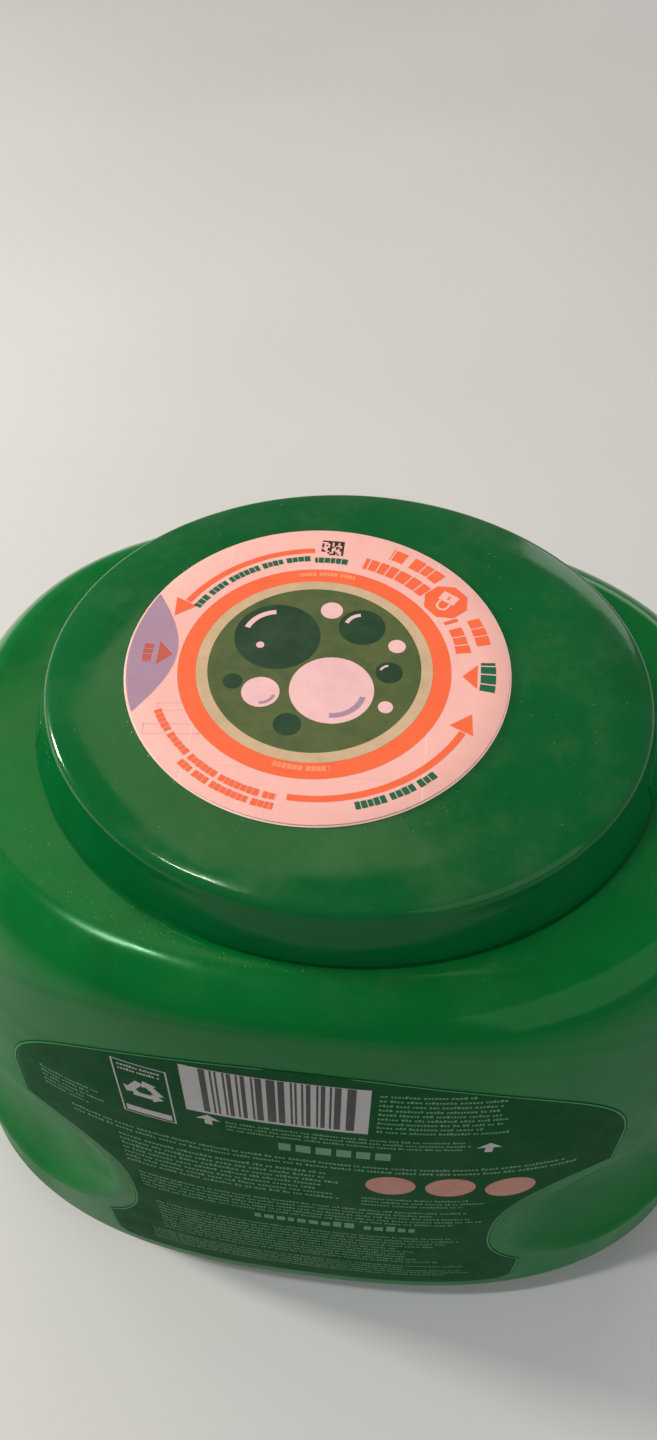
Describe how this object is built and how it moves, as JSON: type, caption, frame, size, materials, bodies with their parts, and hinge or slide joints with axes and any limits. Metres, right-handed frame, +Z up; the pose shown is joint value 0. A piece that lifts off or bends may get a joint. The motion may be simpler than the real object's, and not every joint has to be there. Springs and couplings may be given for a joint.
{
  "type": "laundry pod tub",
  "caption": "Wide oval plastic tub that flares towards its foot, with grip hollows at its corners, a round neck and a low oval lift-off lid with press tabs and a round label.",
  "frame": {"origin": "on the floor under the middle of the tub", "axes": "+Z up, +X along the tub's long side, the back label faces -Y"},
  "size_m": [0.218, 0.1508, 0.1884],
  "materials": {
    "tub_plastic": "glossy blow-moulded green plastic",
    "lid_plastic": "glossy injection-moulded green plastic with a little dust",
    "tab_plastic": "the same green plastic as the lid",
    "label_backing": "white printed label stock",
    "label_leaflet": "white folded leaflet with an orange disc and ring marks",
    "back_label_film": "dark green printed film with pale panels",
    "front_label_film": "green printed film with plain colour fields"
  },
  "bodies": {
    "tub": {"tub": "tub_plastic", "back_label": "back_label_film", "front_label": "front_label_film"},
    "lid": {"lid": "lid_plastic", "lid_label_backing": "label_backing", "lid_label_leaflet": "label_leaflet"},
    "tab_left": {"press_tab_left": "tab_plastic"},
    "tab_right": {"press_tab_right": "tab_plastic"}
  },
  "joints": [
    {"name": "lid_lift", "type": "slide", "parent": "tub", "child": "lid", "axis": [0, 0, 1], "range_m": [0, 0.09]},
    {"name": "tab_left_press", "type": "hinge", "parent": "lid", "child": "tab_left", "pos_m": [-0.05787, 0, 0.1782], "axis": [0, -1, 0], "range_deg": [0, 12], "stiffness_Nm_per_rad": 0.1},
    {"name": "tab_right_press", "type": "hinge", "parent": "lid", "child": "tab_right", "pos_m": [0.05787, 0, 0.1782], "axis": [0, 1, 0], "range_deg": [0, 12], "stiffness_Nm_per_rad": 0.1}
  ]
}
